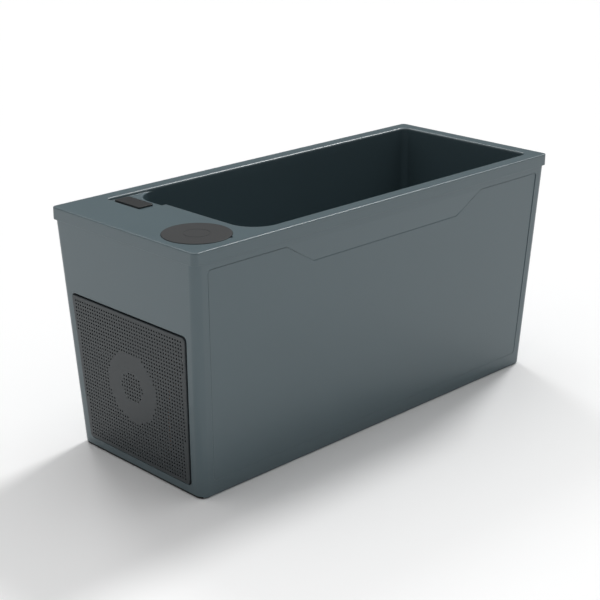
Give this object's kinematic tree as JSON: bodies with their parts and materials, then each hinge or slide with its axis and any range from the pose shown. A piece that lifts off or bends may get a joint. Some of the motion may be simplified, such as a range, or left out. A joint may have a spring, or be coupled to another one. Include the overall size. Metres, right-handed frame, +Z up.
{
  "type": "cold plunge tub",
  "caption": "Insulated rectangular plunge tub with an open basin, a touch tile and filter lid on its deck, and a chiller behind a perforated end panel.",
  "frame": {"origin": "on the floor under the middle of the tub's box", "axes": "+X along the length towards the basin end, -X is the deck and machine end; +Z up; -Y is the pictured long side"},
  "size_m": [1.72, 0.71, 0.838],
  "materials": {
    "body_plastic": "satin, fine texture, slate grey-green",
    "lid_plastic": "satin, dark neutral grey",
    "grille_metal": "powder coated, satin",
    "foam": "rigid foam",
    "frame_paint": "powder coated, satin",
    "rubber": "matt",
    "zinc": "zinc plated",
    "black_plastic": "moulded, satin",
    "tile_plastic": "gloss",
    "tile_glass": "satin glass over a black print",
    "compressor_paint": "satin black",
    "condenser_fins": "dull fins",
    "copper": "drawn copper tube",
    "pipe_pvc": "rigid pipe",
    "filter_paper": "pleated filter cloth",
    "grey_fitting": "moulded",
    "handle_red": "moulded"
  },
  "bodies": {
    "tub": {"outer_shell": "body_plastic", "basin_liner": "body_plastic", "foam_jacket": "foam", "base_frame": "frame_paint", "glide_pads": "rubber", "shell_screws": "zinc", "base_pan": "frame_paint", "bulkhead": "zinc", "grille_sockets": "rubber", "filter_housing": "black_plastic", "housing_base": "black_plastic", "housing_flange": "black_plastic", "display_housing": "tile_plastic", "display_glass": "tile_glass", "display_nut": "black_plastic", "compressor": "compressor_paint", "compressor_mounts": "rubber", "condenser": "condenser_fins", "fan_shroud": "black_plastic", "fan_motor": "zinc", "heat_exchanger": "black_plastic", "discharge_line": "copper", "liquid_line": "copper", "suction_line": "copper", "circulation_pump": "black_plastic", "suction_pipe": "pipe_pvc", "pressure_pipe": "pipe_pvc", "filter_pipe": "pipe_pvc", "return_pipe": "pipe_pvc", "control_box": "black_plastic", "power_inlet": "black_plastic", "suction_grate": "black_plastic", "return_nozzle": "black_plastic", "drain_fitting": "grey_fitting", "drain_pipe": "pipe_pvc", "drain_valve": "grey_fitting"},
    "grille": {"grille_panel": "grille_metal", "grille_studs": "zinc"},
    "filter": {"filter_lid": "lid_plastic", "lid_gasket": "rubber", "filter_cartridge": "filter_paper"},
    "fan": {"fan_rotor": "black_plastic"},
    "handle": {"drain_handle": "handle_red"}
  },
  "joints": [
    {"name": "grille_pull", "type": "slide", "parent": "tub", "child": "grille", "axis": [-0.9986, 0, -0.0534], "range_m": [0, 0.12]},
    {"name": "lid_lift", "type": "slide", "parent": "tub", "child": "filter", "axis": [0, 0, 1], "range_m": [0, 0.32]},
    {"name": "fan_spin", "type": "hinge", "parent": "tub", "child": "fan", "pos_m": [-0.73, 0.08, 0.203], "axis": [1, 0, 0], "continuous": true},
    {"name": "drain_turn", "type": "hinge", "parent": "tub", "child": "handle", "pos_m": [0.7841, 0, 0.1033], "axis": [0, 0, 1], "range_deg": [0, 90]}
  ]
}
